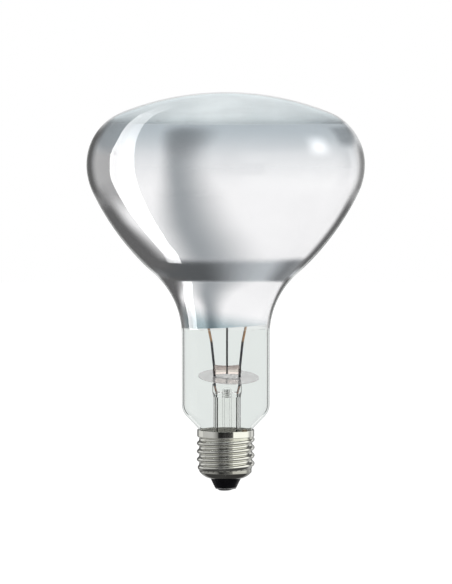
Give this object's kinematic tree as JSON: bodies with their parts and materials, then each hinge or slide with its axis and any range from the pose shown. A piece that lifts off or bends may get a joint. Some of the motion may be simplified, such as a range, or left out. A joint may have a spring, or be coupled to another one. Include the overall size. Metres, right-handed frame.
{
  "type": "infrared reflector heat lamp",
  "caption": "Reflector heat lamp bulb with a domed face, mirrored bowl, clear neck showing its stem, and a large screw cap.",
  "frame": {"origin": "the middle of the flat tip of the centre contact, on the lamp's axis, which is the lamp's lowest point", "axes": "+Z along the lamp's axis from the contact to the domed face; -Y towards the picture's viewer; the two lead wires stand left and right, along X"},
  "size_m": [0.125, 0.125, 0.1795],
  "materials": {
    "clear_glass": "clear blown glass",
    "mirror_aluminium": "evaporated aluminium, seen through the glass",
    "mica": "thin glossy mica sheet",
    "nickel_wire": "drawn nickel wire",
    "copper_clad_wire": "copper clad wire, oxidised in the glass",
    "outer_wire": "tinned copper wire",
    "nickel_sheet": "folded nickel strip",
    "tungsten": "coiled tungsten wire",
    "molybdenum": "drawn molybdenum wire",
    "cap_metal": "nickel plated rolled sheet",
    "black_glass": "black poured glass",
    "solder": "dull solder",
    "rim_solder": "solder stained brown by flux",
    "cement": "baked cement"
  },
  "bodies": {
    "root": {"glass_bulb": "clear_glass", "mirror_coating": "mirror_aluminium", "glass_stem": "clear_glass", "exhaust_tube": "clear_glass", "glass_bridge": "clear_glass", "hook_button": "clear_glass", "heat_baffle": "mica", "lead_wire_left": "nickel_wire", "lead_wire_right": "nickel_wire", "support_rod": "nickel_wire", "seal_wire_left": "copper_clad_wire", "seal_wire_right": "copper_clad_wire", "contact_lead": "outer_wire", "rim_lead": "outer_wire", "crimp_sleeve_left": "nickel_sheet", "crimp_sleeve_right": "nickel_sheet", "filament_clamp_left": "nickel_sheet", "filament_clamp_right": "nickel_sheet", "filament": "tungsten", "filament_hook_1": "molybdenum", "filament_hook_2": "molybdenum", "filament_hook_3": "molybdenum", "filament_hook_4": "molybdenum", "cap_shell": "cap_metal", "cap_insulator": "black_glass", "contact_plate": "cap_metal", "contact_solder": "solder", "rim_solder": "rim_solder", "cap_cement": "cement"}
  },
  "joints": []
}
